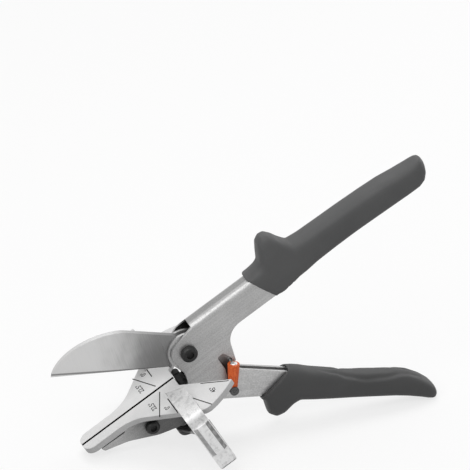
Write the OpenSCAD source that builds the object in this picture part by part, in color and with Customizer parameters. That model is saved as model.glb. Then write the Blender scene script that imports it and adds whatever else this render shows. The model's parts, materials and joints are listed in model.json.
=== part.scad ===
// Mitre shears: a pivoting blade closes on a slotted anvil plate between two swivelling angle fences.
// Sizes are in millimetres and angles in degrees. +X runs from the blade tip to the grips, +Z is up.
// Side outlines are drawn about the pivot: the anvil side in its own tilted frame, the blade side in another.

/* [Stance] */
// Slope of the anvil and the upper handle above the ground
anvil_tilt = 31.6; // [25:0.1:38]
// Angle through which the blade opens from the anvil
opening = 38.1; // [34:0.1:40]

/* [Sheets across the tool] */
// Thickness of the blade
blade_t = 3.5; // [2.5:0.1:4.5]
// Sheet thickness of the lower handle
lower_t = 2; // [1.5:0.1:3]
// Sheet thickness of the upper handle
upper_t = 2; // [1.5:0.1:3]
// Thickness of each pivot shim
shim_t = 0.2; // [0.1:0.05:0.5]
// Side play beside the blade and each shim
side_play = 0.05; // [0.02:0.01:0.1]

/* [Anvil] */
// Depth of the anvil face below the pivot
anvil_drop = 12; // [11:0.5:14]
// Thickness of the anvil plate
plate_t = 4; // [3:0.5:5]
// Distance from the pivot to the anvil nose
nose_reach = 86.5; // [80:0.5:95]
// Width of the anvil nose
nose_w = 18; // [14:0.5:22]
// Extra depth of the nose below the plate
nose_deep = 0.6; // [0.4:0.1:1.6]
// Distance from the fence swivel to the wing tips
wing_r = 55; // [50:0.5:56]
// Width of the blade slot
slot_w = 1.9; // [1.4:0.1:2.2]
// Depth of the blade slot
slot_deep = 2.4; // [2:0.1:3]
// Width of the engraved angle lines
mark_w = 0.7; // [0.4:0.1:0.9]
// Depth of the engraved angle lines
mark_deep = 0.25; // [0.1:0.05:0.5]
// Gap under the plate above the cheeks
plate_gap = 0.4; // [0.2:0.1:1]
// Radius of the rubber bumper behind the plate
bumper_r = 4.5; // [3.5:0.1:4.5]
// Radius of the bumper's cross rod along the plate's back edge
rod_r = 2.4; // [1.8:0.1:2.5]
// Half length of the bumper's cross rod
rod_half = 9.8; // [7:0.2:10]
// Gap between the blade heel and the bumper when shut, and beside the bumper when open
stop_gap = 0.3; // [0.2:0.1:0.5]

/* [Blade] */
// Distance from the pivot to the blade tip
blade_reach = 86.5; // [80:0.5:90]
// Height of the blade above its cutting edge
blade_h = 28.8; // [22:0.1:30]
// Distance from the pivot to the highest point of the back
crest_reach = 43; // [36:0.5:50]
// Depth of the cutting edge below the anvil face when shut
edge_bite = 2; // [0.8:0.1:2.2]
// Height of the ground edge bevel
bevel_h = 3; // [2:0.1:4]
// Thickness at the top of the edge bevel
bevel_t = 1.6; // [1.2:0.1:2.2]
// Thickness of the cutting edge
edge_t = 0.2; // [0.1:0.05:0.4]
// Distance from the pivot to the end of the ground face
grind_reach = 17; // [15:0.5:24]

/* [Handles] */
// Height of the upper handle's top above the pivot
web_top = 15.6; // [13:0.2:16]
// Distance from the pivot to the front of the upper web
web_front = 10.5; // [9:0.5:13]
// Outside radius of the upper fold
upper_fold = 4; // [3:0.2:5]
// Outside radius of the lower fold
lower_fold = 3; // [2.2:0.2:3.4]
// Radius of the lower handle's nose round the pivot
nose_r = 12.5; // [11:0.1:13]
// Depth of the lower handle's bottom below the pivot
lower_drop = 36; // [33:0.5:38]
// Distance from the pivot to the hidden end of the upper channel
upper_end = 138; // [130:1:145]
// Distance from the pivot to the hidden end of the lower channel
lower_end = 140; // [130:1:145]

/* [Grips] */
// Distance from the pivot to the end of the upper grip
upper_grip_end = 186; // [180:1:195]
// Distance from the pivot to the end of the lower grip
lower_grip_end = 170; // [165:1:178]
// Width of the upper grip
upper_grip_w = 17.4; // [16:0.2:20]
// Width of the lower grip
lower_grip_w = 16; // [14:0.2:18]
// Height of the thumb stop above the upper grip
thumb_h = 16.5; // [10:0.5:18]
// Depth of the finger stop below the lower grip
finger_h = 11.5; // [6:0.5:13]
// Gap between each grip and its channel
grip_fit = 0.15; // [0.1:0.05:0.3]

/* [Pivot and fasteners] */
// Diameter of the pivot bolt
pivot_d = 6; // [5:0.5:6.5]
// Wall of the pivot bush
bush_wall = 1.5; // [1:0.1:2]
// Radial running clearance of a turning joint
run_fit = 0.05; // [0.02:0.01:0.1]
// Radial clearance of a bolt in its hole
bolt_fit = 0.1; // [0.05:0.05:0.2]
// Diameter of the pivot bolt head
pivot_head_d = 10.6; // [9:0.2:11]
// Height of the pivot bolt head
pivot_head_h = 3.8; // [3:0.2:4]
// Diameter of the two anvil bolts
anvil_bolt_d = 5; // [4:0.5:5.5]
// Diameter of the anvil bolt heads
anvil_head_d = 9; // [8:0.2:10]
// Height of the anvil bolt heads
anvil_head_h = 3.4; // [2.5:0.1:4]
// Thread left standing past a nut
thread_past = 0.8; // [0.3:0.1:1.5]
// Diameter of the rivets that hold the blade
rivet_d = 5; // [4:0.5:6]

/* [Fences] */
// Width of each fence bar
fence_w = 12; // [10:0.5:13]
// Height of the fence bar on the anvil
fence_h = 9.8; // [7:0.2:10]
// Thickness of the fence wall and leg
fence_t = 2.2; // [1.6:0.1:3]
// Gap between the wing tips and the fence wall
wing_gap = 1.5; // [1:0.1:3]
// Gap between the fence and the anvil face
fence_lift = 0.2; // [0.1:0.05:0.4]
// Distance from the slot to the fence bar's front corner
fence_inner = 23; // [20:0.5:26]
// Slant of the fence bar's inner end
fence_slant = 28; // [24:1:34]
// Height of the raised strip on the fence wall
strip_h = 1.3; // [0.8:0.1:2]
// Width of the raised strip's flat
strip_w = 6; // [4:0.5:7]
// Length of the fence wall below its leg
fence_foot = 3; // [2:0.5:5]
// Corner radius at the lower end of each fence wall
fence_corner = 2; // [1:0.25:3]
// Angle of the right fence towards the anvil nose
right_turn = 5; // [0:0.5:20]
// Distance of the fence's front face behind the swivel
fence_back = 0.8; // [0.4:0.1:2]
// Diameter of the swivel bolt
swivel_d = 5; // [4:0.5:5.5]
// Wall of the swivel bush
swivel_wall = 1.3; // [1:0.1:1.4]
// Diameter of the swivel bolt head
swivel_head_d = 11; // [9:0.5:13]
// Height of the swivel bolt head
swivel_head_h = 2; // [1.6:0.2:3.4]
// Thickness of the swivel washers
washer_t = 0.5; // [0.3:0.1:0.8]
// Gap between the swivel's stacked pieces
stack_gap = 0.1; // [0.05:0.05:0.2]

/* [Latch] */
// Angle of the open latch from the lower handle
latch_rest = 95; // [88:1:98]
// Diameter of the latch pin
latch_pin_d = 4; // [3:0.2:4.6]
// Diameter of the latch hub
latch_hub_d = 5.8; // [5.4:0.2:7]
// Diameter of the latch sleeve's top
latch_top_d = 7.6; // [6:0.2:8]
// Diameter of the latch sleeve's foot
latch_foot_d = 4.4; // [3.8:0.2:5]
// Diameter of the steel hook wire
hook_d = 2; // [1.6:0.1:2.2]
// Gap between the latch sleeve and the upper handle
latch_gap = 0.3; // [0.2:0.1:0.6]

/* [Return spring] */
// Wire diameter
wire_d = 1.2; // [0.8:0.1:1.4]
// Mean radius of the coil
coil_r = 4.5; // [4.2:0.1:5]
// Full turns of the coil
coil_turns = 3; // [2:1:3]
// Gap between the coil and the upper cheeks
coil_side = 0.3; // [0.2:0.05:0.4]
// Diameter of the spring's pin
spring_pin_d = 6; // [4:0.2:6]
// Depth of the pin's seat in each upper cheek
pin_seat = 1.2; // [0.6:0.1:1.4]

/* [Hidden] */
$fn = 64;
// Angle between the points of a rounded corner, and the overlap that keeps a cut clear of a face
arc_step = 8;
over = 1;

// Half widths across the tool, from the blade outwards
lower_in = blade_t / 2 + side_play;
lower_out = lower_in + lower_t;
upper_in = lower_out + shim_t + 2 * side_play;
upper_out = upper_in + upper_t;
spring_seat = upper_in + pin_seat;

// Heights in the anvil frame
face_z = -anvil_drop;
plate_bottom = face_z - plate_t;
nose_bottom = plate_bottom - nose_deep;
edge_z = face_z - edge_bite;
keel_z = plate_bottom - 27;

// Places in the anvil frame: [along, up]
front_bolt_at = [-45, plate_bottom - 11.8];
rear_bolt_at = [-17, plate_bottom - 16];
spring_at = [26, 4.5];
upper_rim = [[66, -4.5], [92, 0]];
swivel_x = -27;
plate_back = 16.5;
// Angle of the wing tips, and how fast the wings grow towards them for each degree
wing_tip = 45;
wing_taper = 0.13;
bumper_at = [bumper_r + bolt_fit - plate_back, edge_z - stop_gap - bumper_r];
rod_at = [rod_r + 2 * bolt_fit - plate_back, plate_bottom + 0.15];

// Places in the blade frame: [along, up]
rivets_at = [[13, -9], [23, -21]];
lower_ridge = [14, 5, 5];
lower_hip = [29, -4, 5];
lower_rim = [65, -18.3];
lower_rim_end = -28.5;
latch_at = [30.5, -24.8];
hook_shut = [14.37, -19.246];
bumper_open = turned(bumper_at, opening);
hook_reach = norm(hook_shut - latch_at);

bush_r = pivot_d / 2 + bolt_fit + bush_wall;
swivel_bush_r = swivel_d / 2 + bolt_fit + swivel_wall;

// Latch: the middle and top of its sleeve and the outer end of its hub
latch_y = -upper_out - latch_gap - latch_top_d / 2;
hub_end = latch_y - latch_foot_d / 2 - 0.4;
sleeve_top = hook_reach + 0.6;

// Heights of the swivel stack under the keel, downwards
swivel_top = keel_z - stack_gap - washer_t;
left_leg_top = swivel_top - stack_gap;
right_leg_top = left_leg_top - fence_t - stack_gap;
swivel_low = right_leg_top - fence_t - stack_gap;
swivel_grip = 16;

// Grip stations: [share of the length, centre, half height above it, half height below it, share of width]
// The upper centres are measured from the pivot, the lower ones from the bottom of the lower handle
upper_grip_from = 54;
upper_stations = [
    [0, 7.5, 11.2, 11.6, 0.97], [0.08, 7.4, 11.4, 11.8, 1], [0.105, 7.4, 13.1, 11.8, 1],
    [0.125, 7.3, 11.8 + 0.45 * thumb_h, 11.8, 1], [0.15, 7.3, 11.6 + 0.85 * thumb_h, 11.7, 0.99],
    [0.178, 7.3, 11.5 + thumb_h, 11.6, 0.98], [0.205, 7.2, 11.4 + 0.97 * thumb_h, 11.5, 0.99],
    [0.228, 7.2, 11.4 + 0.7 * thumb_h, 11.4, 1], [0.245, 7.2, 11.3 + 0.4 * thumb_h, 11.3, 1],
    [0.27, 7.2, 11.3 + 0.05 * thumb_h, 11.3, 1], [0.33, 7.3, 10.9, 11, 1], [0.44, 7.3, 10.4, 10.5, 1],
    [0.56, 7.1, 10.2, 10.2, 1], [0.68, 6.5, 10.1, 10.1, 1], [0.78, 5.8, 9.9, 9.9, 0.99],
    [0.86, 4.8, 9.2, 9.3, 0.97], [0.92, 4.2, 8.9, 8.8, 0.93], [0.955, 4.8, 8, 7.8, 0.86],
    [0.98, 6.3, 6.2, 5.6, 0.72], [0.994, 7.8, 4, 3.2, 0.5], [1, 8.6, 1.6, 1.4, 0.22]
];
lower_grip_from = 52;
lower_stations = [
    [0, 8, 10.3, 9.4, 0.98], [0.03, 7.9, 10.3, 9.6 + 0.05 * finger_h, 0.98],
    [0.065, 7.8, 10.3, 10.3 + 0.85 * finger_h, 0.97], [0.11, 7.7, 10.4, 10.7 + finger_h, 0.97],
    [0.15, 7.6, 10.5, 10.6 + 0.8 * finger_h, 0.98], [0.19, 7.4, 10.6, 10.6 + 0.27 * finger_h, 0.99],
    [0.225, 7.2, 10.5, 10.6, 1], [0.3, 6.4, 10, 10.2, 1], [0.4, 5.4, 9.2, 9.4, 1],
    [0.52, 4.6, 8.4, 8.6, 1], [0.64, 4.1, 8.3, 8.4, 1], [0.76, 3.8, 8.3, 8.5, 1],
    [0.83, 2.6, 7.8, 8, 0.99], [0.9, 0.3, 6.8, 6.9, 0.95], [0.95, -2, 5.4, 5.9, 0.86],
    [0.98, -3.8, 3.8, 4.6, 0.7], [0.994, -5, 2.2, 2.8, 0.48], [1, -5.5, 0.9, 1.1, 0.22]
];
grip_power = 3;
grip_sides = 32;

// Place of the pivot, which puts the origin under the middle of the whole tool on the ground
lower_corners = [for (s = lower_stations) each [for (z = [s[1] + s[2], s[1] - s[3]])
    turned([station_x(s, lower_grip_from, lower_grip_end), z - lower_drop], anvil_tilt - opening)]];
blade_tip = turned([-blade_reach, edge_z], anvil_tilt - opening);
nose_low = turned([-nose_reach, nose_bottom], anvil_tilt);
pivot_x = -(blade_tip.x + max([for (p = lower_corners) p.x])) / 2;
pivot_z = -min(nose_low.y, min([for (p = lower_corners) p.y]));

function turned(p, a) = [p.x * cos(a) - p.y * sin(a), p.x * sin(a) + p.y * cos(a)];
function unit(v) = v / norm(v);
function heading(v) = atan2(v.y, v.x);
function station_x(s, from, to) = from + s[0] * (to - from);

// Points of one corner q, rounded to its radius q[2], between its neighbours p and s
function corner(p, q, s) =
    let (here = [q.x, q.y], a = unit([p.x, p.y] - here), b = unit([s.x, s.y] - here),
        half = acos(a * b) / 2, hub = here + unit(a + b) * q[2] / sin(half),
        from = heading(here + a * q[2] / tan(half) - hub), to = heading(here + b * q[2] / tan(half) - hub),
        sweep = (to - from + 540) % 360 - 180, steps = max(2, ceil(abs(sweep) / arc_step)))
    q[2] == 0 ? [here]
        : [for (k = [0:steps]) hub + q[2] * [cos(from + sweep * k / steps), sin(from + sweep * k / steps)]];

// Closed outline through corners [x, y, radius]
function rounded(c) =
    let (n = len(c)) [for (i = [0:n - 1]) each corner(c[(i + n - 1) % n], c[i], c[(i + 1) % n])];

module in_anvil_frame() {
    translate([pivot_x, 0, pivot_z]) rotate([0, -anvil_tilt, 0]) children();
}

module in_blade_frame() {
    translate([pivot_x, 0, pivot_z]) rotate([0, opening - anvil_tilt, 0]) children();
}

// A side outline, [along, up], made into a sheet from y0 to y1
module sheet(y0, y1) {
    rotate([90, 0, 0]) translate([0, 0, -y1]) linear_extrude(y1 - y0) children();
}

// A cross pin along Y at a place in a side frame
module pin(at, r, y0, y1) {
    translate([at.x, y0, at.y]) rotate([-90, 0, 0]) cylinder(r = r, h = y1 - y0);
}

// A cross section, [across, up], drawn out along X
module drawn(x0, x1) {
    translate([x0, 0, 0]) rotate([90, 0, 90]) linear_extrude(x1 - x0) children();
}

// Round head with a hexagon socket, standing out towards -Y from the plane y
module socket_head(at, d, h, y) {
    socket = d / 2;
    difference() {
        union() {
            pin(at, d / 2, y - h * 0.7, y);
            translate([at.x, y - h * 0.7, at.y]) rotate([90, 0, 0])
                cylinder(r1 = d / 2, r2 = d * 0.4, h = h * 0.3);
        }
        translate([at.x, y - h - over, at.y]) rotate([-90, 0, 0])
            cylinder(d = socket, h = over + h * 0.55, $fn = 6);
    }
}

// Hexagon nut on a bolt of diameter d, from the plane y outwards
module hex_nut(at, d, y) {
    difference() {
        translate([at.x, y, at.y]) rotate([-90, 0, 0]) cylinder(d = d * 1.9, h = d * 0.8, $fn = 6);
        pin(at, d / 2 + side_play, y - over, y + d * 0.8 + over);
    }
}

// Bolt across the tool: head on the -Y side, thread past its nut on the +Y side
module cross_bolt(at, d, head_d, head_h) {
    union() {
        socket_head(at, head_d, head_h, -upper_out);
        pin(at, d / 2, -upper_out - head_h * 0.2, upper_out + d * 0.8 + thread_past);
    }
}

function upper_outline() = [
    [upper_end, web_top, 1], [web_front, web_top, 0.3], [web_front, web_top - upper_t, 0.3],
    [-11.2, 7.4, 8], [-9.3, -11, 14], [-12.3, plate_bottom - 5, 3], [-18, plate_bottom - plate_gap, 1],
    [-57, plate_bottom - plate_gap, 2], [-61, nose_bottom - 2.7, 1.5], [-78.6, nose_bottom - 2.3, 0.8],
    [-77, nose_bottom - 5.1, 1.2], [-62, plate_bottom - 10.4, 25], [-44.5, plate_bottom - 20, 25],
    [-31, plate_bottom - 24.4, 20], [-14, keel_z, 4], [10.2, -32.6, 2], [12.3, -26, 6],
    [12.4, -15.7, 1.6], [16.9, -15.7, 1.4], [19.4, -22, 4], [19.5, -25.8, 0.4], [20.9, -25.3, 0.4],
    [26.8, upper_rim[0].y, 13], concat(upper_rim[0], 12), concat(upper_rim[1], 20),
    [upper_end, upper_rim[1].y, 1]
];

// Raised front corner of the far cheek beside the web
far_crown = [[web_front + over, web_top], [7.6, web_top - 0.7], [3.2, web_top - 1.8], [-0.7, web_top - 3.8],
    [-4, 8], [web_front + over, 8]];

module upper_section() {
    bottom = keel_z - over;
    difference() {
        polygon(rounded([[-upper_out, bottom, 0], [-upper_out, web_top, upper_fold],
            [upper_out, web_top, upper_fold], [upper_out, bottom, 0]]));
        polygon(rounded([[-upper_in, bottom - over, 0], [-upper_in, web_top - upper_t, upper_fold - upper_t],
            [upper_in, web_top - upper_t, upper_fold - upper_t], [upper_in, bottom - over, 0]]));
    }
}

module upper_handle() {
    wide = upper_out + over;
    color([0.68, 0.69, 0.7]) in_anvil_frame() difference() {
        intersection() {
            drawn(-nose_reach, upper_end + over) upper_section();
            union() {
                sheet(-wide, wide) polygon(rounded(upper_outline()));
                sheet(upper_in, wide) polygon(far_crown);
            }
        }
        pin([0, 0], pivot_d / 2 + bolt_fit, -wide, wide);
        pin(front_bolt_at, anvil_bolt_d / 2 + bolt_fit, -wide, wide);
        pin(rear_bolt_at, anvil_bolt_d / 2 + bolt_fit, -wide, wide);
        pin(spring_at, spring_pin_d / 2 + side_play, -spring_seat - side_play, spring_seat + side_play);
    }
}

// Closed skin through the grip's stations: each ring is a superellipse, flatter below than above where asked
module grip_body(stations, from, to, width) {
    n = grip_sides;
    last = len(stations) - 1;
    function bend(v) = sign(v) * pow(abs(v), 2 / grip_power);
    points = [for (s = stations) each [for (k = [0:n - 1]) let (a = 360 * k / n, up = sin(a))
        [station_x(s, from, to), bend(cos(a)) * s[4] * width / 2, s[1] + bend(up) * (up > 0 ? s[2] : s[3])]]];
    sides = [for (i = [0:last - 1]) each [for (k = [0:n - 1]) let (j = (k + 1) % n)
        each [[i * n + k, i * n + j, (i + 1) * n + j], [i * n + k, (i + 1) * n + j, (i + 1) * n + k]]]];
    front = [for (k = [1:n - 2]) [0, k + 1, k]];
    back = [for (k = [1:n - 2]) [last * n, last * n + k, last * n + k + 1]];
    polyhedron(points, concat(front, sides, back));
}

module upper_grip() {
    far = upper_grip_w;
    fit = grip_fit;
    wide = upper_out + fit;
    rim = [for (p = upper_rim) p - [0, fit]];
    color([0.3, 0.3, 0.31]) in_anvil_frame() difference() {
        grip_body(upper_stations, upper_grip_from, upper_grip_end, upper_grip_w);
        sheet(-far, far) polygon([[0, 40], [45, 40], [upper_grip_from + 0.5, 19],
            [upper_grip_from + 11.5, -7], [60, -30], [0, -30]]);
        intersection() {
            drawn(upper_grip_from - over, upper_end + fit) polygon(rounded([[-wide, rim[0].y, 0],
                [-wide, web_top + fit, upper_fold], [wide, web_top + fit, upper_fold],
                [wide, rim[0].y, 0]]));
            sheet(-far, far) polygon([[0, far], [upper_end + over, far], [upper_end + over, rim[1].y],
                rim[1], rim[0], [0, rim[0].y]]);
        }
    }
}

// Plan of the anvil plate on one side, from the nose to the back: [along, across, radius]
function plate_half() = concat(
    [[-nose_reach, nose_w / 2, 6.5], [-52.3, nose_w / 2, 25], [-11.7, nose_w / 2 + 40, 7]],
    [for (a = [25:4:wing_tip]) let (r = wing_r - (wing_tip - a) * wing_taper)
        [swivel_x + r * sin(a), r * cos(a), 0]],
    [[-plate_back + 2.2, 12.4, 1], [-plate_back, 10, 1]]);

function plate_outline() =
    let (half = plate_half(), n = len(half))
    rounded(concat(half, [for (i = [n - 1:-1:0]) [half[i].x, -half[i].y, half[i][2]]]));

// Angle lines: [angle from the square line towards the handle, inner end, outer end, each from the swivel]
marks = [[0, 14.7, 34], [-22.5, 4, 27.5], [22.5, 19, wing_r], [wing_tip - 1.4, 31.5, wing_r - 1.5]];

module anvil_rib() {
    wide = upper_in - side_play;
    root = plate_bottom + 0.5;
    difference() {
        sheet(-wide, wide) polygon(rounded([[-18, root, 0], [-77, root, 0], [-77, nose_bottom, 0],
            [-44, plate_bottom - 18.5, 20], [-30, plate_bottom - 23, 10], [-14, keel_z + 2, 2],
            [-10, keel_z + 3, 1], [-10, bumper_at.y - 1, 1], [-18, bumper_at.y - 1, 0]]));
        pin(bumper_at, bumper_r, -upper_out, upper_out);
    }
}

module anvil() {
    color([0.82, 0.82, 0.81]) in_anvil_frame() difference() {
        union() {
            translate([0, 0, plate_bottom]) linear_extrude(plate_t) polygon(plate_outline());
            intersection() {
                translate([0, 0, nose_bottom]) linear_extrude(nose_deep + 0.5) polygon(plate_outline());
                sheet(-nose_w, nose_w) polygon([[-nose_reach - over, plate_bottom + over],
                    [-nose_reach - over, nose_bottom - over], [-60, nose_bottom - over],
                    [-57, plate_bottom + over]]);
            }
            anvil_rib();
            translate([swivel_x, 0, swivel_top])
                cylinder(r = min(swivel_bush_r, upper_in - side_play), h = plate_bottom - swivel_top - over);
        }
        translate([-nose_reach - over, -slot_w / 2, face_z - slot_deep])
            cube([nose_reach, slot_w, slot_deep + over]);
        for (m = marks, side = [0, 180]) translate([swivel_x, 0, face_z - mark_deep])
            rotate([0, 0, side == 0 ? m[0] - 90 : 90 - m[0]])
            translate([m[1], -mark_w / 2, 0]) cube([m[2] - m[1], mark_w, mark_deep + over]);
        pin(front_bolt_at, anvil_bolt_d / 2 + bolt_fit, -upper_out, upper_out);
        pin(rear_bolt_at, anvil_bolt_d / 2 + bolt_fit, -upper_out, upper_out);
        translate([swivel_x, 0, swivel_top - over])
            cylinder(d = swivel_d + 2 * side_play, h = swivel_grip + over);
    }
}

module anvil_front_bolt() {
    color([0.15, 0.15, 0.16]) in_anvil_frame()
        cross_bolt(front_bolt_at, anvil_bolt_d, anvil_head_d, anvil_head_h);
}

module anvil_front_nut() {
    color([0.15, 0.15, 0.16]) in_anvil_frame() hex_nut(front_bolt_at, anvil_bolt_d, upper_out);
}

module anvil_rear_bolt() {
    color([0.15, 0.15, 0.16]) in_anvil_frame()
        cross_bolt(rear_bolt_at, anvil_bolt_d, anvil_head_d, anvil_head_h);
}

module anvil_rear_nut() {
    color([0.15, 0.15, 0.16]) in_anvil_frame() hex_nut(rear_bolt_at, anvil_bolt_d, upper_out);
}

module heel_bumper() {
    wide = upper_in - side_play;
    color([0.1, 0.1, 0.1]) in_anvil_frame() union() {
        pin(bumper_at, bumper_r, -wide, wide);
        difference() {
            pin(rod_at, rod_r, -rod_half, rod_half);
            translate([-plate_back, -upper_in, edge_z - stop_gap]) cube([plate_back, 2 * upper_in, plate_t]);
        }
    }
}

module pivot_bolt() {
    color([0.15, 0.15, 0.16]) in_anvil_frame() cross_bolt([0, 0], pivot_d, pivot_head_d, pivot_head_h);
}

module pivot_nut() {
    color([0.15, 0.15, 0.16]) in_anvil_frame() hex_nut([0, 0], pivot_d, upper_out);
}

module pivot_bush() {
    color([0.6, 0.58, 0.5]) in_anvil_frame() difference() {
        pin([0, 0], bush_r, -upper_in, upper_in);
        pin([0, 0], pivot_d / 2 + bolt_fit, -upper_in - over, upper_in + over);
    }
}

module pivot_shims() {
    color([0.75, 0.75, 0.76]) in_anvil_frame() for (y = [-upper_in + side_play, lower_out + side_play])
        difference() {
            pin([0, 0], nose_r - 2, y, y + shim_t);
            pin([0, 0], bush_r + run_fit, y - over, y + shim_t + over);
        }
}

module spring_pin() {
    color([0.6, 0.6, 0.62]) in_anvil_frame() pin(spring_at, spring_pin_d / 2, -spring_seat, spring_seat);
}

// Path of the spring wire: a leg under the upper web, the coil, and a leg on the lower handle's top edge
coil_half = upper_in - coil_side - wire_d / 2;
lower_edge_open = [for (p = [lower_ridge, lower_hip]) turned([p.x, p.y], -opening)];
edge_out = unit([lower_edge_open[0].y - lower_edge_open[1].y, lower_edge_open[1].x - lower_edge_open[0].x]);
rest_end = lower_edge_open[0] * 0.6 + lower_edge_open[1] * 0.4 + edge_out * (wire_d / 2 + stop_gap);
web_end = [spring_at.x + 14, web_top - upper_t - wire_d / 2 - side_play];
web_leg_y = min(coil_half, upper_in - upper_fold + upper_t - 0.3);
into = heading(spring_at - web_end) - asin(coil_r / norm(spring_at - web_end));
out_of = heading(spring_at - rest_end) + asin(coil_r / norm(spring_at - rest_end)) + 180;
coil_from = into - 90;
coil_sweep = (out_of - into + 720) % 360 + 360 * coil_turns;
coil_rings = ceil(coil_sweep / 45);
wire_path = concat([[web_end.x, -web_leg_y, web_end.y]],
    [for (k = [0:coil_rings]) let (t = k / coil_rings, a = coil_from + coil_sweep * t)
        [spring_at.x + coil_r * cos(a), coil_half * (2 * t - 1), spring_at.y + coil_r * sin(a)]],
    [[rest_end.x, coil_half, rest_end.y]]);

// Least gap between one turn of the wire and the next, measured on the path's points
wire_gap = min([for (i = [0:len(wire_path) - 1]) each [for (j = [i + 5:1:len(wire_path) - 1])
    norm(wire_path[i] - wire_path[j])]]) - wire_d;
echo(least_gap_between_spring_turns = wire_gap);

// One unbroken tube along a path that stays nearly square to Y
module wire_tube(path, r) {
    sides = 6;
    last = len(path) - 1;
    rings = [for (i = [0:last]) let (along = unit(path[min(i + 1, last)] - path[max(i - 1, 0)]),
        a = unit(cross(along, [0, 1, 0])), b = cross(along, a))
        each [for (k = [0:sides - 1]) path[i] + r * (cos(60 * k) * a + sin(60 * k) * b)]];
    skin = [for (i = [0:last - 1]) each [for (k = [0:sides - 1]) let (j = (k + 1) % sides)
        each [[i * sides + k, (i + 1) * sides + j, i * sides + j],
            [i * sides + k, (i + 1) * sides + k, (i + 1) * sides + j]]]];
    ends = [for (k = [1:sides - 2]) each [[0, k, k + 1],
        [last * sides, last * sides + k + 1, last * sides + k]]];
    polyhedron(rings, concat(skin, ends));
}

module return_spring() {
    color([0.55, 0.56, 0.58]) in_anvil_frame() wire_tube(wire_path, wire_d / 2);
}

module swivel_bolt() {
    head_top = swivel_low - washer_t;
    color([0.15, 0.15, 0.16]) in_anvil_frame() translate([swivel_x, 0, 0]) difference() {
        union() {
            translate([0, 0, head_top])
                cylinder(d = swivel_d, h = swivel_top + swivel_grip - over - head_top);
            translate([0, 0, head_top - swivel_head_h * 0.6])
                cylinder(d = swivel_head_d, h = swivel_head_h * 0.6);
            translate([0, 0, head_top - swivel_head_h])
                cylinder(d1 = swivel_head_d * 0.7, d2 = swivel_head_d, h = swivel_head_h * 0.4);
        }
        translate([0, 0, head_top - swivel_head_h - over])
            cylinder(d = swivel_d * 0.8, h = swivel_head_h * 0.6 + over, $fn = 6);
    }
}

module swivel_bush() {
    color([0.6, 0.58, 0.5]) in_anvil_frame() translate([swivel_x, 0, swivel_low]) difference() {
        cylinder(r = swivel_bush_r, h = swivel_top - swivel_low);
        translate([0, 0, -over])
            cylinder(r = swivel_d / 2 + bolt_fit, h = swivel_top - swivel_low + 2 * over);
    }
}

// Flat washer under the height z in the swivel's stack
module swivel_washer(z, bore) {
    translate([swivel_x, 0, z - washer_t]) difference() {
        cylinder(r = swivel_bush_r + 3, h = washer_t);
        translate([0, 0, -over]) cylinder(r = bore, h = washer_t + 2 * over);
    }
}

module swivel_washers() {
    color([0.7, 0.7, 0.71]) in_anvil_frame() {
        swivel_washer(swivel_low, swivel_d / 2 + bolt_fit);
        swivel_washer(swivel_top + washer_t, swivel_bush_r + run_fit);
    }
}

function lower_outline() = [
    [-1, nose_r - 0.4, 0], lower_ridge, lower_hip, [36, -14.8, 5], concat(lower_rim, 40),
    [lower_end, lower_rim_end, 1], [lower_end, -lower_drop, 1], [27, -lower_drop, 4], [-7.6, -9.6, 0]
];

module lower_section() {
    top = nose_r + over;
    difference() {
        polygon(rounded([[-lower_out, top, 0], [lower_out, top, 0],
            [lower_out, -lower_drop, lower_fold], [-lower_out, -lower_drop, lower_fold]]));
        polygon(rounded([[-lower_in, top + over, 0], [lower_in, top + over, 0],
            [lower_in, lower_t - lower_drop, lower_fold - lower_t],
            [-lower_in, lower_t - lower_drop, lower_fold - lower_t]]));
    }
}

module lower_handle() {
    wide = lower_out + over;
    color([0.68, 0.69, 0.7]) in_blade_frame() difference() {
        intersection() {
            drawn(-nose_r - over, lower_end + over) lower_section();
            union() {
                sheet(-wide, wide) polygon(rounded(lower_outline()));
                pin([0, 0], nose_r, -wide, wide);
            }
        }
        pin([0, 0], bush_r + run_fit, -wide, wide);
        pin(bumper_open, bumper_r + stop_gap, -wide, wide);
        pin(latch_at, latch_pin_d / 2 + side_play, -wide, wide);
        for (at = rivets_at) pin(at, rivet_d / 2 + side_play, -wide, wide);
    }
}

module lower_grip() {
    far = lower_grip_w;
    front = lower_grip_from;
    fit = grip_fit;
    color([0.3, 0.3, 0.31]) in_blade_frame() difference() {
        translate([0, 0, -lower_drop])
            grip_body(lower_stations, lower_grip_from, lower_grip_end, lower_grip_w);
        sheet(-far, far) polygon([[0, 0], [front + 23, 0], [front + 16.5, lower_rim.y + 0.8],
            [front + 1, 0.2 - lower_drop], [front + 1, -lower_drop - 2 * finger_h],
            [0, -lower_drop - 2 * finger_h]]);
        sheet(-lower_out - fit, lower_out + fit) polygon([[front - over, lower_rim.y + 1.8 + fit],
            [lower_rim.x, lower_rim.y + fit], [lower_end + fit, lower_rim_end + fit],
            [lower_end + fit, -lower_drop - fit], [front - over, -lower_drop - fit]]);
    }
}

// Back of the blade: a pointed superellipse from the tip to the crest
function blade_back() = [for (k = [0:15]) let (along = pow(cos(6 * k), 1.11), up = pow(sin(6 * k), 1.11))
    [-crest_reach - (blade_reach - crest_reach) * along, edge_z + blade_h * up]];

module blade_outline() {
    polygon(concat(blade_back(), rounded([[-9, 10.4, 0], [11, 4.5, 6], [26, -7, 6], [30, -20, 4],
        [25, -28.5, 4], [12, -22.6, 4], [-7.5, -9.4, 0], [-9.6, edge_z, 0.5]]), [[-blade_reach, edge_z]]));
}

// Cross section of the ground part: full at the back, thinner towards the edge, then the edge bevel
module grind_section() {
    full = blade_t / 2;
    thin = bevel_t / 2;
    top = edge_z + blade_h;
    polygon([[-full, top + nose_r], [-full, top - 2], [-thin, edge_z + bevel_h], [-edge_t / 2, edge_z],
        [edge_t / 2, edge_z], [thin, edge_z + bevel_h], [full, top - 2], [full, top + nose_r]]);
}

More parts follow.
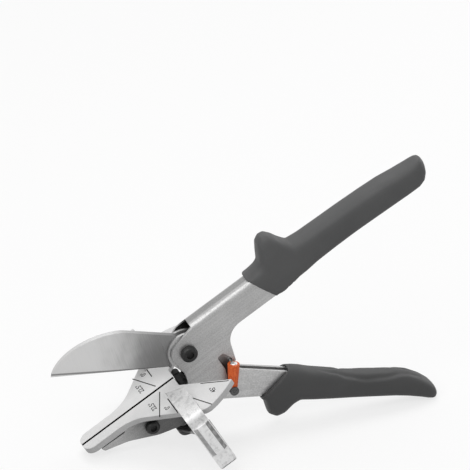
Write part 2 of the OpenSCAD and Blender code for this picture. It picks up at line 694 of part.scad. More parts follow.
// Reach of the ground face, ended by a curved plunge line in front of the pivot
module grind_outline() {
    translate([-grind_reach - 47.3, -27.5]) circle(r = 57.6, $fn = 160);
}

module blade() {
    far = blade_t;
    color([0.75, 0.76, 0.78]) in_blade_frame() difference() {
        union() {
            intersection() {
                sheet(-far, far) intersection() { blade_outline(); grind_outline(); }
                drawn(-blade_reach - over, 0) grind_section();
            }
            sheet(-blade_t / 2, blade_t / 2) difference() { blade_outline(); grind_outline(); }
        }
        pin([0, 0], bush_r + run_fit, -far, far);
        for (at = rivets_at) pin(at, rivet_d / 2 + side_play, -far, far);
        pin(bumper_open, bumper_r + stop_gap, -far, far);
    }
}

module blade_rivets() {
    color([0.62, 0.62, 0.64]) in_blade_frame()
        for (at = rivets_at) pin(at, rivet_d / 2, -lower_out, lower_out);
}

// The latch's own frame, standing along its sleeve
module in_latch_frame() {
    in_blade_frame() translate([latch_at.x, 0, latch_at.y]) rotate([0, 90 - latch_rest, 0]) children();
}

module latch_pin() {
    head_h = 1.2;
    color([0.35, 0.36, 0.37]) in_latch_frame() {
        pin([0, 0], latch_pin_d / 2, hub_end - side_play - head_h / 2, lower_out);
        pin([0, 0], latch_hub_d / 2, hub_end - side_play - head_h, hub_end - side_play);
    }
}

module latch() {
    hub_start = -lower_out - side_play;
    color([0.85, 0.36, 0.12]) in_latch_frame() difference() {
        union() {
            pin([0, 0], latch_hub_d / 2, hub_end, hub_start);
            translate([0, latch_y, 0]) cylinder(d1 = latch_foot_d, d2 = latch_top_d, h = sleeve_top);
        }
        pin([0, 0], latch_pin_d / 2 + run_fit, hub_end - over, hub_start + over);
        translate([0, latch_y, hook_reach / 2]) cylinder(d = hook_d + 2 * side_play, h = hook_reach);
        pin([0, hook_reach], hook_d / 2 + side_play, latch_y, 0);
    }
}

module catch_hook() {
    color([0.8, 0.8, 0.82]) in_latch_frame() union() {
        translate([0, latch_y, hook_reach / 2]) cylinder(d = hook_d, h = sleeve_top + 0.3 - hook_reach / 2);
        translate([0, latch_y, hook_reach]) sphere(d = hook_d);
        pin([0, hook_reach], hook_d / 2, latch_y, -upper_in);
    }
}

// Waste outside one rounded lower corner of a fence wall; inward is 1 or -1
module wall_corner(at, inward, near, far) {
    r = fence_corner;
    difference() {
        translate([at.x - (inward < 0 ? r : over), -far, at.y - over]) cube([r + over, far - near, r + over]);
        pin([at.x + inward * r, at.y + r], r, -far - over, -near + over);
    }
}

// One fence on the -Y side: a bar on the anvil, a wall down past the wing and a leg to the swivel
module fence(leg_top) {
    x0 = swivel_x + fence_back;
    wall_in = wing_r + wing_gap;
    wall_out = wall_in + fence_t;
    bar_low = face_z + fence_lift;
    bar_top = bar_low + fence_h;
    leg_low = leg_top - fence_t;
    foot_low = leg_low - fence_foot;
    joint_y = fence_inner + 1;
    strip_top = bar_low - 1;
    strip_low = leg_low + (strip_top - leg_low) * 0.28;
    difference() {
        union() {
            difference() {
                drawn(x0, x0 + fence_w) polygon(rounded([[-fence_inner, bar_top, 0.8],
                    [-wall_out, bar_top, 7], [-wall_out, foot_low, 1], [-wall_in, foot_low, 0.8],
                    [-wall_in, leg_low, 0.8], [-joint_y, leg_low, 0], [-joint_y, leg_top, 0],
                    [-wall_in, leg_top, 1], [-wall_in, bar_low, 1], [-fence_inner, bar_low, 0]]));
                translate([x0, -fence_inner, bar_low - over]) rotate([0, 0, -fence_slant])
                    cube([2 * fence_w, fence_w, fence_h + 2 * over]);
            }
            translate([0, 0, leg_low]) linear_extrude(fence_t) {
                polygon([[swivel_x - swivel_bush_r - 3, -1], [x0, -joint_y + 8], [x0, -joint_y - over],
                    [x0 + fence_w, -joint_y - over], [x0 + fence_w, -joint_y + 10],
                    [swivel_x + swivel_bush_r + 3, 1]]);
                translate([swivel_x, 0]) circle(r = swivel_bush_r + 3.2);
            }
            translate([x0 + fence_w / 2, 0, strip_low]) linear_extrude(strip_top - strip_low)
                polygon([[-fence_w / 2 + 0.6, -wall_out + 0.2], [-strip_w / 2, -wall_out - strip_h],
                    [strip_w / 2, -wall_out - strip_h], [fence_w / 2 - 0.6, -wall_out + 0.2]]);
        }
        translate([swivel_x, 0, leg_low - over])
            cylinder(r = swivel_bush_r + run_fit, h = fence_t + 2 * over);
        for (end = [0, 1]) wall_corner([x0 + end * fence_w, foot_low], 1 - 2 * end, wall_in - 1, wall_out + 1);
    }
}

module left_fence() {
    color([0.78, 0.78, 0.77]) in_anvil_frame() fence(left_leg_top);
}

module right_fence() {
    color([0.78, 0.78, 0.77]) in_anvil_frame() mirror([0, 1, 0])
        translate([swivel_x, 0, 0]) rotate([0, 0, -right_turn]) translate([-swivel_x, 0, 0])
        fence(right_leg_top);
}

upper_handle();
upper_grip();
anvil();
anvil_front_bolt();
anvil_front_nut();
anvil_rear_bolt();
anvil_rear_nut();
heel_bumper();
pivot_bolt();
pivot_nut();
pivot_bush();
pivot_shims();
spring_pin();
return_spring();
swivel_bolt();
swivel_bush();
swivel_washers();
lower_handle();
lower_grip();
blade();
blade_rivets();
latch_pin();
latch();
catch_hook();
left_fence();
right_fence();
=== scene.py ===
import json
import math

import bpy
from mathutils import Matrix, Vector


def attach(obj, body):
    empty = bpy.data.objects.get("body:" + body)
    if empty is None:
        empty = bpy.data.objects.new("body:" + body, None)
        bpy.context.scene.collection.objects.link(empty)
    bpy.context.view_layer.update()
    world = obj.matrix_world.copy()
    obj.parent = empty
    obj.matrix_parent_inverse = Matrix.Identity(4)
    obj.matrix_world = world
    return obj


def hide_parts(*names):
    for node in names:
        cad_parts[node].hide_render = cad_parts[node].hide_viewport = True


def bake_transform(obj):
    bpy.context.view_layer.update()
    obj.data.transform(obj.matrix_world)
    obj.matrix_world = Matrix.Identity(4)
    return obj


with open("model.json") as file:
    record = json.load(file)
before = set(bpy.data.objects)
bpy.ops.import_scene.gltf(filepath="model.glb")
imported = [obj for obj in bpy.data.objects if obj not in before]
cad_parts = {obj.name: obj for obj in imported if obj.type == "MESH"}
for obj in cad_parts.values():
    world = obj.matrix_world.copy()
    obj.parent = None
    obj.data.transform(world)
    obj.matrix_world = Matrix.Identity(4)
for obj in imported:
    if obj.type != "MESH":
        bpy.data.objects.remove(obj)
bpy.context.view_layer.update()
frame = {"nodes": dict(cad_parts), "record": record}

mm = 0.001
metre = 1000  # millimetres
facing = 0.9  # a face looks along an axis when that share of its normal does

# where the two halves of the tool turn, and how they stand
joints = {joint["name"]: joint for joint in frame["record"]["behaviour"]["joints"]}
pivot = Vector(joints["handle_pivot"]["pos_m"])
stance = {"anvilTilt": 31.6, "bladeDrop": 6.5}  # degrees
anvilSpace = Matrix.Translation(pivot) @ Matrix.Rotation(-math.radians(stance["anvilTilt"]), 4, "Y")
bladeSpace = Matrix.Translation(pivot) @ Matrix.Rotation(math.radians(stance["bladeDrop"]), 4, "Y")
toAnvil = anvilSpace.inverted()
toBlade = bladeSpace.inverted()
plate = {"faceZ": -12.0, "swivelX": -27.0}  # mm from the pivot, in the anvil's own half


# everyday moves
def pickOnly(*pieces):
    if bpy.context.object and bpy.context.object.mode != "OBJECT":
        bpy.ops.object.mode_set(mode="OBJECT")
    bpy.ops.object.select_all(action="DESELECT")
    for piece in pieces:
        piece.select_set(True)
    bpy.context.view_layer.objects.active = pieces[-1]


def leaveEdit():
    bpy.ops.object.mode_set(mode="OBJECT")


def editAll(piece):
    pickOnly(piece)
    bpy.ops.object.mode_set(mode="EDIT")
    bpy.ops.mesh.select_all(action="SELECT")


def editFaces(piece, wanted):
    editAll(piece)
    bpy.ops.mesh.select_mode(type="FACE")
    bpy.ops.mesh.select_all(action="DESELECT")
    leaveEdit()
    for face in piece.data.polygons:
        face.select = wanted(face)
    bpy.ops.object.mode_set(mode="EDIT")


def newest(name):
    piece = bpy.context.object
    piece.name = name
    piece.data.name = name
    return piece


def added(operator, name, **settings):
    bpy.ops.object.select_all(action="DESELECT")
    operator(**settings)
    return newest(name)


def moveMesh(piece, matrix):
    piece.data.transform(matrix)
    piece.data.update()


def shift(x, y, z):
    return Matrix.Translation((x * mm, y * mm, z * mm))


def stretch(x, y, z):
    return Matrix.Diagonal((x * mm, y * mm, z * mm, 1))


def joined(pieces, name):
    pickOnly(*pieces)
    bpy.ops.object.join()
    return newest(name)


def copyNode(nodeName, pieceName, flatAngle=0.6, merge=0.002):
    piece = bpy.data.objects.new(pieceName, frame["nodes"][nodeName].data.copy())
    bpy.context.scene.collection.objects.link(piece)
    piece.data.name = pieceName
    pickOnly(piece)
    bpy.ops.mesh.customdata_custom_splitnormals_clear()
    editAll(piece)
    bpy.ops.mesh.remove_doubles(threshold=merge * mm)
    bpy.ops.mesh.dissolve_limited(angle_limit=math.radians(flatAngle))
    leaveEdit()
    return piece


def modify(piece, kind, **settings):
    modifier = piece.modifiers.new(kind.lower(), kind)
    for key, value in settings.items():
        setattr(modifier, key, value)
    pickOnly(piece)
    bpy.ops.object.modifier_apply(modifier=modifier.name)


def smoothOver(piece, degrees=40):
    pickOnly(piece)
    bpy.ops.object.shade_smooth_by_angle(angle=math.radians(degrees))
    # large flats stay flat beside rounded edges
    modify(piece, "WEIGHTED_NORMAL", keep_sharp=True, weight=90)


def roundEdges(piece, width, segments=2, degrees=32):
    modify(piece, "BEVEL", width=width * mm, segments=segments, limit_method="ANGLE",
           angle_limit=math.radians(degrees), use_clamp_overlap=False, miter_outer="MITER_ARC")
    smoothOver(piece)


def paint(piece, finish):
    piece.data.materials.clear()
    piece.data.materials.append(finish.material)


def fit(piece, body, slotName, finish, *nodes):
    paint(piece, finish)
    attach(piece, body)
    if nodes:
        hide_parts(*nodes)


def ease(low, high, value):
    share = min(1.0, max(0.0, (value - low) / (high - low)))
    return share * share * (3 - 2 * share)


def between(stations, value):
    for (x0, y0), (x1, y1) in zip(stations, stations[1:]):
        if value <= x1:
            return y0 + (y1 - y0) * ease(x0, x1, value)
    return stations[-1][1]


# shader writing: a wire is a socket that takes part in sums
class Wire:
    def __init__(self, sheet, socket):
        self.sheet = sheet
        self.socket = socket

    def sum(self, operation, *terms):
        return self.sheet.node("ShaderNodeMath", {"operation": operation}, dict(enumerate(terms)))

    def __add__(self, other):
        return self.sum("ADD", self, other)

    def __sub__(self, other):
        return self.sum("SUBTRACT", self, other)

    def __rsub__(self, other):
        return self.sum("SUBTRACT", other, self)

    def __mul__(self, other):
        return self.sum("MULTIPLY", self, other)

    def __abs__(self):
        return self.sum("ABSOLUTE", self)

    __radd__ = __add__
    __rmul__ = __mul__


class NodeSheet:
    def __init__(self, tree):
        self.tree = tree

    def plug(self, socket, value):
        if isinstance(value, Wire):
            self.tree.links.new(value.socket, socket)
        else:
            socket.default_value = value

    def node(self, kind, settings=None, values=None, out=0):
        made = self.tree.nodes.new(kind)
        for key, value in (settings or {}).items():
            setattr(made, key, value)
        for key, value in (values or {}).items():
            self.plug(made.inputs[key], value)
        return Wire(self, made.outputs[out])

    # rays that see a thing directly, mirrored or through something clear
    def seen(self):
        direct = self.node("ShaderNodeLightPath", out="Is Camera Ray")
        mirrored = self.node("ShaderNodeLightPath", out="Is Glossy Ray")
        through = self.node("ShaderNodeLightPath", out="Is Transmission Ray")
        return direct + mirrored + through


class Finish(NodeSheet):
    def __init__(self, name, **surface):
        self.material = bpy.data.materials.new(name)
        self.material.use_nodes = True
        super().__init__(self.material.node_tree)
        self.shader = self.tree.nodes["Principled BSDF"]
        self.feed(**surface)

    def feed(self, **wires):
        for key, value in wires.items():
            self.plug(self.shader.inputs[key.replace("_", " ")], value)

    # millimetres from the pivot, turned with the piece
    def along(self, tilt, stretched=(1, 1, 1)):
        place = self.node("ShaderNodeTexCoord", out="Object")
        turn = Matrix.Rotation(math.radians(tilt), 3, "Y")
        turned = self.node("ShaderNodeMapping", {"vector_type": "POINT"}, {
            "Vector": place, "Location": turn @ pivot * -metre,
            "Rotation": (0, math.radians(tilt), 0), "Scale": (metre, metre, metre)})
        return self.node("ShaderNodeVectorMath", {"operation": "MULTIPLY"}, {0: turned, 1: stretched})

    def split(self, place, axis):
        return self.node("ShaderNodeSeparateXYZ", {}, {"Vector": place}, out=axis)

    def cloud(self, where, scale, detail=3.0, rough=0.55):
        return self.node("ShaderNodeTexNoise", {}, {
            "Vector": where, "Scale": scale, "Detail": detail, "Roughness": rough})

    def span(self, wire, low, high, newLow=0.0, newHigh=1.0):
        return self.node("ShaderNodeMapRange", {"interpolation_type": "SMOOTHSTEP"}, {
            "Value": wire, "From Min": low, "From Max": high, "To Min": newLow, "To Max": newHigh})

    def fade(self, wire, low, high):
        return self.span(wire, low, high, 1.0, 0.0)

    def band(self, wire, foot, footTop, crownFoot, crown):
        return self.span(wire, foot, footTop) * self.fade(wire, crownFoot, crown)

    # the colours of a Mix node are its inputs 6 and 7 and its output 2
    def blend(self, share, first, second):
        return self.node("ShaderNodeMix", {"data_type": "RGBA"}, {0: share, 6: first, 7: second}, out=2)

    def bump(self, height, depth, strength=0.5):
        self.feed(Normal=self.node("ShaderNodeBump", {}, {
            "Height": height, "Distance": depth * mm, "Strength": strength}))


def grey(level, warm=0.0):
    return (level * (1 + warm), level, level * (1 - warm), 1)


# plated sheet: faint blotches, drawing lines along the handle and a fine even grain
def platedSheet(name, tilt, dark, light, dull):
    look = {
        "blotch": 0.05, "lines": (0.05, 1.4, 1.4), "grain": 1.15, "paintedShadeGrey": grey(0.012),
        "blotchShare": 0.2, "lineShare": 0.25, "grainShare": 0.55, "tone": (0.32, 0.68),
        "rough": 0.50, "polish": 0.12, "lineRelief": 0.35, "grainRelief": 0.65, "depth": 0.02,
    }
    finish = Finish(name, Metallic=0.9)
    place = finish.along(tilt)
    blotch = finish.cloud(place, look["blotch"])
    lines = finish.cloud(finish.along(tilt, look["lines"]), scale=1.0)
    grain = finish.cloud(place, look["grain"], rough=0.6)
    mixed = blotch * look["blotchShare"] + lines * look["lineShare"] + grain * look["grainShare"]
    tone = finish.span(mixed, *look["tone"])
    plated = finish.blend(tone, dark, light)
    # painted shade: where the given mask says, the plate is darkened towards near black
    finish.feed(Base_Color=finish.blend(dull(finish, place), plated, look["paintedShadeGrey"]),
                Roughness=look["rough"] - tone * look["polish"])
    finish.bump(lines * look["lineRelief"] + grain * look["grainRelief"], look["depth"], strength=0.6)
    return finish


# painted shade on the upper channel: nearly black inside, darker on its keel under the anvil and a little
# darker on the top of its web
def upperPaintedShade(finish, place):
    paintedShadeForm = {
        "half": (4.2, 4.4), "web": (13.7, 13.9), "insideDeep": 0.97,
        "keel": (-68, -40, -17, -12), "keelTop": (-19.3, -16.8), "keelDeep": 0.72,
        "flat": (2.1, 2.9), "flatTop": (15.0, 15.3), "flatDeep": 0.26,
    }
    along, wide, height = finish.split(place, "X"), abs(finish.split(place, "Y")), finish.split(place, "Z")
    inside = finish.fade(wide, *paintedShadeForm["half"]) * finish.fade(height, *paintedShadeForm["web"])
    keel = finish.band(along, *paintedShadeForm["keel"]) * finish.fade(height, *paintedShadeForm["keelTop"])
    flat = finish.fade(wide, *paintedShadeForm["flat"]) * finish.span(height, *paintedShadeForm["flatTop"])
    return finish.node("ShaderNodeMath", {"operation": "MAXIMUM"}, {
        0: inside * paintedShadeForm["insideDeep"], 1: keel * paintedShadeForm["keelDeep"] + flat * paintedShadeForm["flatDeep"]})


# painted shade on the lower channel where it runs between the cheeks, which shows in the notch beside the
# latch
def lowerPaintedShade(finish, place):
    paintedShadeForm = {"run": (13, 17, 30, 34), "low": (-27, -25), "high": (-12, -5), "deep": (0.88, 0.528)}
    along, height = finish.split(place, "X"), finish.split(place, "Z")
    return (finish.band(along, *paintedShadeForm["run"]) * finish.span(height, *paintedShadeForm["low"])
            * finish.span(height, *paintedShadeForm["high"], *paintedShadeForm["deep"]))


# blade: ground aslant across its width, with painted reflection brighter towards the tip and a painted
# shade line above the edge
def groundSteel():
    look = {
        "dark": grey(0.24), "light": grey(0.61, 0.003), "tone": (0.1, 1.02),
        "slant": 24, "lines": (1.5, 1.0, 0.06), "fine": 1.3, "lineShare": 0.34,
        "cloud": 0.045, "sway": 30, "reach": (1, -47), "paintedReflectionShare": 0.78,
        "edge": -14.0, "edgeShade": (0.9, 1.5, 2.2, 2.9), "edgeShadeDeep": 0.72, "edgeShadeGrey": grey(0.10),
        "rough": 0.42, "polish": 0.10, "lineRough": 0.06, "depth": 0.012,
    }
    finish = Finish("bladeSteel", Metallic=0.95)
    tilt = -stance["bladeDrop"]
    place = finish.along(tilt)
    lines = finish.cloud(finish.along(tilt + look["slant"], look["lines"]), look["fine"], detail=4)
    cloud = finish.cloud(place, look["cloud"], detail=2)
    # painted reflection: darker towards the pivot, brighter towards the tip
    reach = finish.span(finish.split(place, "X") + cloud * look["sway"], *look["reach"])
    # painted shade: a dark line above the edge, where its bevel starts
    edgeShade = finish.band(finish.split(place, "Z") - look["edge"], *look["edgeShade"])
    tone = finish.span(reach * look["paintedReflectionShare"] + lines * look["lineShare"], *look["tone"])
    shade = finish.blend(tone, look["dark"], look["light"])
    finish.feed(Base_Color=finish.blend(edgeShade * look["edgeShadeDeep"], shade, look["edgeShadeGrey"]),
                Roughness=look["rough"] - tone * look["polish"] + lines * look["lineRough"])
    finish.bump(lines, look["depth"])
    return finish


# pale satin casting; where its sides have greys of their own, they are painted darker than the top face as
# painted shade
def paleCasting(name, dark, light, metal, rough, depth, sides=None):
    look = {
        "cloud": 0.09, "cloudShare": 0.4, "grain": 1.5, "grainShare": 0.6, "tone": (0.32, 0.68),
        "polish": 0.08, "grainRough": 0.08, "top": (plate["faceZ"] - 0.45, plate["faceZ"] - 0.25),
    }
    finish = Finish(name, Metallic=metal)
    place = finish.along(stance["anvilTilt"])
    cloud = finish.cloud(place, look["cloud"])
    grain = finish.cloud(place, look["grain"], detail=4, rough=0.62)
    tone = finish.span(cloud * look["cloudShare"] + grain * look["grainShare"], *look["tone"])
    shade = finish.blend(tone, dark, light)
    # painted shade: the sides take the darker greys, the top face keeps the lighter ones
    if sides:
        top = finish.span(finish.split(place, "Z"), *look["top"])
        shade = finish.blend(top, finish.blend(tone, *sides), shade)
    finish.feed(Base_Color=shade, Roughness=rough - tone * look["polish"] + grain * look["grainRough"])
    finish.bump(grain, depth)
    return finish


# fence: a pale mottled casting, dark at its hub and darker at the inner end of its bar, with painted shade
# at its bend and in the flanks beside its raised strip, and painted light on its outer wall
def fenceCasting():
    look = {
        "middle": -20.2, "flank": (2.75, 3.1, 5.25, 5.55), "flankHigh": (-36.9, -36.3, -13.1, -12.5),
        "skin": (-58.6, -58.2), "flankDeep": 0.92, "nearShade": grey(0.34), "farShade": grey(0.17),
        "swivel": (plate["swivelX"], 0, 0), "hub": (11, 13), "hubDeep": 0.95, "hubShade": grey(0.02),
        "wall": (56.0, 57.3), "wallPaintedLightShare": 0.85, "wallPaintedLight": grey(0.96),
        "mottle": 0.30, "mottleTone": (0.44, 0.70), "mottleDeep": 0.40, "mottleAndShadeGrey": grey(0.26),
        "bend": (-12.6, -10.4, -7.5, -4.5), "bendDeep": 0.26,
        "inner": (25, 42), "innerDeep": 0.32, "innerMottle": 0.2,
    }
    finish = paleCasting("fenceCasting", grey(0.60), grey(0.84, 0.005), metal=0.35, rough=0.56, depth=0.03)
    plain = Wire(finish, finish.shader.inputs["Base Color"].links[0].from_socket)
    place = finish.along(stance["anvilTilt"])
    aside = finish.split(place, "X") - look["middle"]
    across, height = finish.split(place, "Y"), finish.split(place, "Z")
    outward = abs(across)
    # painted light: the outer wall is made lighter
    wall = finish.span(outward, *look["wall"], 0.0, look["wallPaintedLightShare"])
    mottle = finish.span(finish.cloud(place, look["mottle"], detail=4, rough=0.62), *look["mottleTone"])
    # painted shade: a darker band along the bend below its highlight
    bend = wall * finish.band(height, *look["bend"])
    inner = finish.fade(outward, *look["inner"]) * (mottle * look["innerMottle"] + look["innerDeep"])
    # mottle together with the painted shade of the bend and the darker inner end
    mottleAndShade = mottle * look["mottleDeep"] + bend * look["bendDeep"] + inner
    bracket = finish.blend(mottleAndShade, finish.blend(wall, plain, look["wallPaintedLight"]), look["mottleAndShadeGrey"])
    # painted shade in the flanks beside the raised strip, deeper on the far side
    flank = (finish.band(abs(aside), *look["flank"]) * finish.band(height, *look["flankHigh"])
             * finish.fade(across, *look["skin"]) * (look["flankDeep"] - mottle * look["mottleDeep"]))
    flankShade = finish.blend(finish.span(aside, -1, 1), look["nearShade"], look["farShade"])
    flat = finish.node("ShaderNodeVectorMath", {"operation": "MULTIPLY"}, {0: place, 1: (1, 1, 0)})
    reach = finish.node("ShaderNodeVectorMath", {"operation": "DISTANCE"}, {0: flat, 1: look["swivel"]},
                        out="Value")
    hub = finish.span(reach, *look["hub"], look["hubDeep"], 0.0)
    finish.feed(Base_Color=finish.blend(hub, finish.blend(flank, bracket, flankShade), look["hubShade"]))
    return finish


# soft dark moulding with a fine dull skin
def mouldedVinyl(name, tilt, level):
    look = {
        "dark": grey(level, -0.01), "light": grey(level * 1.2, -0.005), "tone": (0.35, 0.65),
        "skin": 2.6, "skinShare": 0.5, "cloud": 0.04, "cloudShare": 0.5,
        "rough": 0.50, "skinRough": 0.12, "depth": 0.025,
    }
    finish = Finish(name, Specular_IOR_Level=0.36)
    place = finish.along(tilt)
    skin = finish.cloud(place, look["skin"])
    cloud = finish.cloud(place, look["cloud"], detail=2)
    tone = finish.span(cloud * look["cloudShare"] + skin * look["skinShare"], *look["tone"])
    finish.feed(Base_Color=finish.blend(tone, look["dark"], look["light"]),
                Roughness=look["rough"] + skin * look["skinRough"])
    finish.bump(skin, look["depth"], strength=0.45)
    return finish


# small hardware and trim share one speckled finish
def speckled(name, dark, light, metal, rough, scale=1.4, depth=0.01, shine=0.5):
    look = {"tone": (0.35, 0.65), "dull": 0.1, "polish": 0.16}
    finish = Finish(name, Metallic=metal, Specular_IOR_Level=shine)
    speck = finish.cloud(finish.along(stance["anvilTilt"]), scale, detail=4)
    tone = finish.span(speck, *look["tone"])
    finish.feed(Base_Color=finish.blend(tone, dark, light),
                Roughness=rough + look["dull"] - tone * look["polish"])
    finish.bump(speck, depth)
    return finish


finishes = {
    "upperSheet": platedSheet("upperSheet", stance["anvilTilt"], grey(0.32), grey(0.47, 0.004), upperPaintedShade),
    "lowerSheet": platedSheet("lowerSheet", -stance["bladeDrop"], grey(0.38), grey(0.55, 0.004), lowerPaintedShade),
    "blade": groundSteel(),
    # the anvil's darker side greys are painted shade
    "anvil": paleCasting("anvilCasting", grey(0.72), grey(0.80, 0.004), metal=0.0, rough=0.46, depth=0.012,
                         sides=(grey(0.50), grey(0.60))),
    "fence": fenceCasting(),
    # the upper grip's level is set lighter than the lower's as painted light
    "upperGrip": mouldedVinyl("upperVinyl", stance["anvilTilt"], 0.084),
    "lowerGrip": mouldedVinyl("lowerVinyl", -stance["bladeDrop"], 0.060),
    "blackScrew": speckled("blackScrew", grey(0.010), grey(0.024), metal=0.4, rough=0.40),
    "rubber": speckled("blackRubber", grey(0.005), grey(0.011), metal=0.0, rough=0.62,
                       scale=2.2, depth=0.03, shine=0.2),
    "brass": speckled("bushBrass", (0.42, 0.33, 0.16, 1), (0.6, 0.49, 0.27, 1), metal=0.9, rough=0.34),
    "plainSteel": speckled("plainSteel", grey(0.33), grey(0.52), metal=0.92, rough=0.36),
    "spring": speckled("springWire", grey(0.22), grey(0.40), metal=0.92, rough=0.32),
    "pin": speckled("pinGrey", grey(0.06), grey(0.11), metal=0.55, rough=0.40),
    "orange": speckled("latchOrange", (0.72, 0.105, 0.014, 1), (0.88, 0.17, 0.03, 1), metal=0.0, rough=0.38,
                       scale=0.7, depth=0.012),
    "wire": speckled("hookWire", grey(0.70), grey(0.88), metal=0.96, rough=0.20),
    # the same black serves the printed lines and numbers and the painted shade in the slot
    "ink": speckled("lineInkAndSlotShade", grey(0.003), grey(0.007), metal=0.0, rough=0.7, shine=0.05),
}
print("finishes:", len(finishes))

# folded steel
sheetMetal = {"edge": 0.3}
upperChannel = copyNode("upper_handle", "upperChannel")
roundEdges(upperChannel, sheetMetal["edge"])
fit(upperChannel, "anvil_side", "steel_sheet", finishes["upperSheet"], "upper_handle")
lowerChannel = copyNode("lower_handle", "lowerChannel")
roundEdges(lowerChannel, sheetMetal["edge"])
fit(lowerChannel, "blade_side", "steel_sheet", finishes["lowerSheet"], "lower_handle")
print("channels done")

# blade: its flats meet at small angles, so less is merged and only true corners are rounded
bladeForm = {"edge": 0.07, "flatAngle": 0.3, "corner": 50}
groundBlade = copyNode("blade", "groundBlade", bladeForm["flatAngle"])
roundEdges(groundBlade, bladeForm["edge"], degrees=bladeForm["corner"])
fit(groundBlade, "blade_side", "blade_steel", finishes["blade"], "blade")
print("blade done")

# anvil: every outside edge is rounded, the slot and the engraved lines stay sharp
anvilForm = {
    "edge": 0.35, "corner": 32, "slotHalf": 0.95, "slotDeep": 2.4, "noseX": -86.5, "backX": -16.5,
    "markHalf": 0.35, "markDeep": 0.25, "slack": 0.05, "innerSlack": 0.1, "outerSlack": 0.2,
    # angle, then the inner and the outer end from the swivel
    "marks": [(0, 14.7, 34), (-22.5, 4, 27.5), (22.5, 19, 52), (43.6, 31.5, 53.5)],
}


def markTurns():
    for angle, inner, outer in anvilForm["marks"]:
        yield math.radians(angle - 90), inner, outer  # left wing
        yield math.radians(90 - angle), inner, outer  # right wing


def isFine(point):
    form = anvilForm
    if abs(point.y) < form["slotHalf"] + form["slack"]:
        return True
    if point.z < plate["faceZ"] - form["markDeep"] - form["slack"]:
        return False
    for turn, inner, outer in markTurns():
        ahead = Matrix.Rotation(-turn, 2) @ Vector((point.x - plate["swivelX"], point.y))
        onLength = inner - form["innerSlack"] < ahead.x < outer + form["outerSlack"]
        if onLength and abs(ahead.y) < form["markHalf"] + form["slack"]:
            return True
    return False


anvilCasting = copyNode("anvil", "anvilCasting")
editAll(anvilCasting)
bpy.ops.mesh.select_all(action="DESELECT")
bpy.ops.mesh.select_mode(type="EDGE")
bpy.ops.mesh.edges_select_sharp(sharpness=math.radians(anvilForm["corner"]))
leaveEdit()
casting = anvilCasting.data
castingSpots = [toAnvil @ vertex.co * metre for vertex in casting.vertices]
weights = casting.attributes.new("bevel_weight_edge", "FLOAT", "EDGE")
for edge in casting.edges:
    fine = all(isFine(castingSpots[end]) for end in edge.vertices)
    weights.data[edge.index].value = 1.0 if edge.select and not fine else 0.0
modify(anvilCasting, "BEVEL", width=anvilForm["edge"] * mm, segments=2, limit_method="WEIGHT",
       use_clamp_overlap=False)
smoothOver(anvilCasting)
fit(anvilCasting, "anvil_side", "anvil_cast", finishes["anvil"], "anvil")

# a black sheet laid in the slot as painted shade: an open trough, thin enough to leave the blade its room
slotShadeForm = {"wall": 0.12, "clear": 0.005, "below": 0.02, "noseShort": 0.3, "backShort": 0.2}
slotShadeTop = plate["faceZ"] - slotShadeForm["below"]
slotShadeLow = plate["faceZ"] - anvilForm["slotDeep"] + slotShadeForm["clear"]
slotShadeNose = anvilForm["noseX"] + slotShadeForm["noseShort"]
slotShadeBack = anvilForm["backX"] - slotShadeForm["backShort"]
slotShadeWide = 2 * (anvilForm["slotHalf"] - slotShadeForm["clear"])
slotShade = added(bpy.ops.mesh.primitive_cube_add, "slotShade", size=1)
moveMesh(slotShade, stretch(slotShadeBack - slotShadeNose, slotShadeWide, slotShadeTop - slotShadeLow))
editFaces(slotShade, lambda face: face.normal.z > facing or abs(face.normal.x) > facing)
bpy.ops.mesh.delete(type="FACE")
leaveEdit()
modify(slotShade, "SOLIDIFY", thickness=slotShadeForm["wall"] * mm, offset=-1)
moveMesh(slotShade, anvilSpace @ shift((slotShadeNose + slotShadeBack) / 2, 0, (slotShadeTop + slotShadeLow) / 2))
fit(slotShade, "anvil_side", "black_screw", finishes["ink"])
print("anvil done")

# angle lines laid into the engraving
lineForm = {"width": 0.66, "height": 0.2, "sink": 0.02, "short": 0.06, "round": 0.04}
lineLift = plate["faceZ"] - lineForm["sink"] - lineForm["height"] / 2
inkLines = []
for turn, inner, outer in markTurns():
    stroke = added(bpy.ops.mesh.primitive_cube_add, "stroke", size=1)
    moveMesh(stroke, stretch(outer - inner - lineForm["short"], lineForm["width"], lineForm["height"]))
    editAll(stroke)
    bpy.ops.mesh.bevel(offset=lineForm["round"] * mm, segments=2, affect="EDGES")
    leaveEdit()
    moveMesh(stroke, shift((inner + outer) / 2, 0, 0))
    moveMesh(stroke, anvilSpace @ shift(plate["swivelX"], 0, lineLift) @ Matrix.Rotation(turn, 4, "Z"))
    inkLines.append(stroke)
angleLines = joined(inkLines, "angleLines")
smoothOver(angleLines, degrees=30)
fit(angleLines, "anvil_side", "black_screw", finishes["ink"])

# angle numbers, read from the handles
numberForm = {
    "size": 4.6, "thick": 0.03, "bold": 0.04, "curve": 4,
    # words, then the place along the anvil and out from its slot
    "places": [("45°", -1.1, 36), ("22.5°", -37.2, 11.9), ("0°", -30.4, 22.3), ("22.5°", -15.5, 38)],
}
numberLift = plate["faceZ"] + numberForm["thick"] / 2
quarterTurn = Matrix.Rotation(math.pi / 2, 4, "Z")
inkNumbers = []
for words, along, out in numberForm["places"]:
    for side in (-1, 1):
        number = added(bpy.ops.object.text_add, "number")
        number.data.body = words
        number.data.size = numberForm["size"] * mm
        number.data.align_x = "CENTER"
        number.data.align_y = "CENTER"
        number.data.extrude = numberForm["thick"] * mm / 2
        number.data.offset = numberForm["bold"] * mm
        number.data.resolution_u = numberForm["curve"]
        pickOnly(number)
        bpy.ops.object.convert(target="MESH")
        number = newest("number")
        moveMesh(number, anvilSpace @ shift(along, side * out, numberLift) @ quarterTurn)
        inkNumbers.append(number)
angleNumbers = joined(inkNumbers, "angleNumbers")
fit(angleNumbers, "anvil_side", "black_screw", finishes["ink"])
